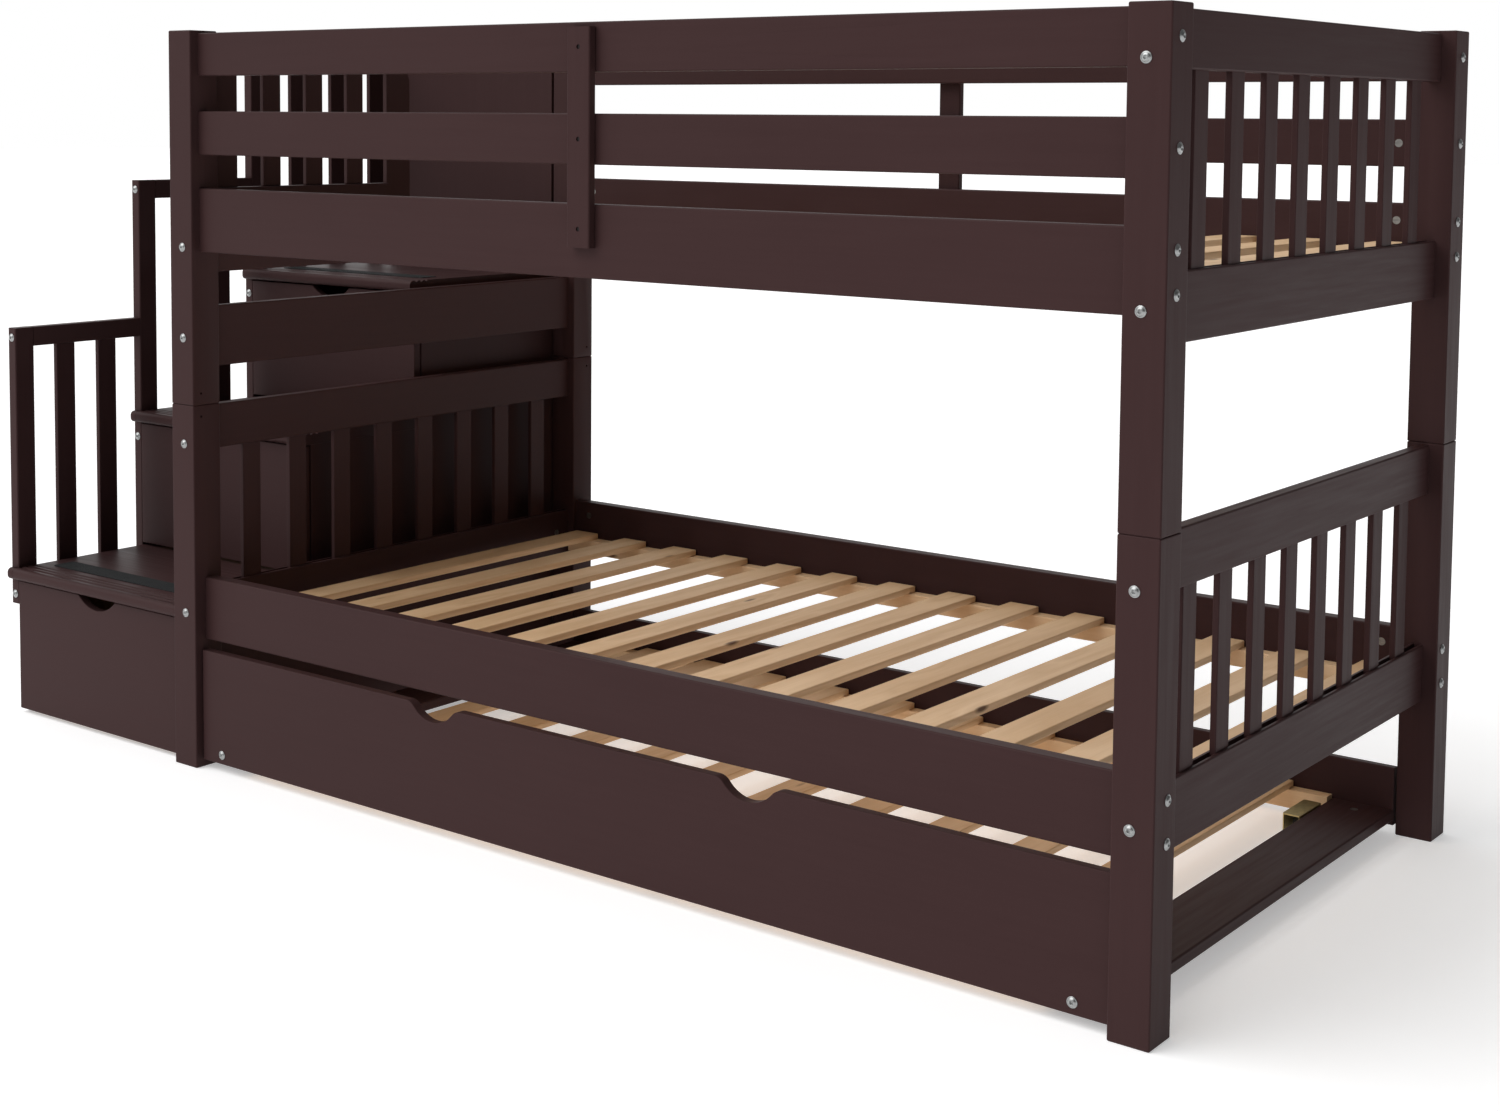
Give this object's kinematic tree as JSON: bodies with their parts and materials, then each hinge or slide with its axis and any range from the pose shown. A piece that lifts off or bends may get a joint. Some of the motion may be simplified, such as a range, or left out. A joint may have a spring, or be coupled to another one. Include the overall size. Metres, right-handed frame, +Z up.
{
  "type": "bunk bed with storage stairs",
  "caption": "Bunk bed of slatted ends and guard rails, with a drawer staircase and handrail at one end and a low roll-out trundle bed underneath.",
  "frame": {"origin": "on the floor, under the middle of the whole object", "axes": "+Z up, +X along the bed away from the staircase, -Y is the front that the drawers and the trundle open towards"},
  "size_m": [2.6138, 1.1576, 1.405],
  "materials": {
    "espresso_paint": "satin",
    "pine": "matte",
    "drawer_board": "matte",
    "zinc_bolt": "satin",
    "zinc_nut": "satin",
    "yellow_zinc": "satin",
    "wheel_plastic": "matte",
    "anti_slip": "matte"
  },
  "bodies": {
    "frame": {"anti_slip_strips": "anti_slip", "back_guard_rails": "espresso_paint", "back_lower_side_rail": "espresso_paint", "back_upper_side_rail": "espresso_paint", "barrel_nuts": "zinc_nut", "drawer_runners": "drawer_board", "frame_bolts": "zinc_bolt", "front_guard_rails": "espresso_paint", "front_lower_side_rail": "espresso_paint", "front_upper_side_rail": "espresso_paint", "guard_stiles": "espresso_paint", "handrail_posts": "espresso_paint", "handrail_rails": "espresso_paint", "handrail_slats": "espresso_paint", "left_guard_jambs": "espresso_paint", "left_guard_slats": "espresso_paint", "left_lower_rails": "espresso_paint", "left_lower_slats": "espresso_paint", "left_upper_rails": "espresso_paint", "lower_post_back_left": "espresso_paint", "lower_post_back_right": "espresso_paint", "lower_post_front_left": "espresso_paint", "lower_post_front_right": "espresso_paint", "lower_slats": "pine", "post_pins": "zinc_nut", "right_lower_rails": "espresso_paint", "right_lower_slats": "espresso_paint", "right_upper_rails": "espresso_paint", "right_upper_slats": "espresso_paint", "slat_ledgers": "pine", "stair_back_guard": "espresso_paint", "stair_back_panel": "espresso_paint", "stair_corner_post": "espresso_paint", "stair_left_side": "espresso_paint", "stair_right_side": "espresso_paint", "stair_treads": "espresso_paint", "stile_screws": "zinc_nut", "upper_post_back_left": "espresso_paint", "upper_post_back_right": "espresso_paint", "upper_post_front_left": "espresso_paint", "upper_post_front_right": "espresso_paint", "upper_slats": "pine"},
    "trundle": {"trundle_back": "espresso_paint", "trundle_bolts": "zinc_bolt", "trundle_end_boards": "espresso_paint", "trundle_front": "espresso_paint", "trundle_ledgers": "pine", "trundle_nuts": "zinc_nut", "trundle_slats": "pine", "caster_brackets": "yellow_zinc"},
    "drawer_1": {"drawer_1_front": "espresso_paint", "drawer_1_box": "drawer_board"},
    "drawer_2": {"drawer_2_front": "espresso_paint", "drawer_2_box": "drawer_board"},
    "drawer_3": {"drawer_3_front": "espresso_paint", "drawer_3_box": "drawer_board"},
    "wheel_front_left": {"caster_wheel_front_left": "wheel_plastic"},
    "wheel_front_right": {"caster_wheel_front_right": "wheel_plastic"},
    "wheel_back_left": {"caster_wheel_back_left": "wheel_plastic"},
    "wheel_back_right": {"caster_wheel_back_right": "wheel_plastic"}
  },
  "joints": [
    {"name": "trundle_slide", "type": "slide", "parent": "frame", "child": "trundle", "axis": [0, -1, 0], "range_m": [0, 0.95]},
    {"name": "drawer_1_slide", "type": "slide", "parent": "frame", "child": "drawer_1", "axis": [0, -1, 0], "range_m": [0, 0.22]},
    {"name": "drawer_2_slide", "type": "slide", "parent": "frame", "child": "drawer_2", "axis": [0, -1, 0], "range_m": [0, 0.22]},
    {"name": "drawer_3_slide", "type": "slide", "parent": "frame", "child": "drawer_3", "axis": [0, -1, 0], "range_m": [0, 0.3]},
    {"name": "wheel_front_left_roll", "type": "hinge", "parent": "trundle", "child": "wheel_front_left", "pos_m": [-0.553, -0.4475, 0.022], "axis": [1, 0, 0], "range_deg": [-10, 2500]},
    {"name": "wheel_front_right_roll", "type": "hinge", "parent": "trundle", "child": "wheel_front_right", "pos_m": [1.109, -0.4475, 0.022], "axis": [1, 0, 0], "range_deg": [-10, 2500]},
    {"name": "wheel_back_left_roll", "type": "hinge", "parent": "trundle", "child": "wheel_back_left", "pos_m": [-0.553, 0.4125, 0.022], "axis": [1, 0, 0], "range_deg": [-10, 2500]},
    {"name": "wheel_back_right_roll", "type": "hinge", "parent": "trundle", "child": "wheel_back_right", "pos_m": [1.109, 0.4125, 0.022], "axis": [1, 0, 0], "range_deg": [-10, 2500]}
  ],
  "couplings": [
    {"joint": "wheel_front_left_roll", "follows": "trundle_slide", "rad_per_m": 45.455},
    {"joint": "wheel_front_right_roll", "follows": "trundle_slide", "rad_per_m": 45.455},
    {"joint": "wheel_back_left_roll", "follows": "trundle_slide", "rad_per_m": 45.455},
    {"joint": "wheel_back_right_roll", "follows": "trundle_slide", "rad_per_m": 45.455}
  ]
}
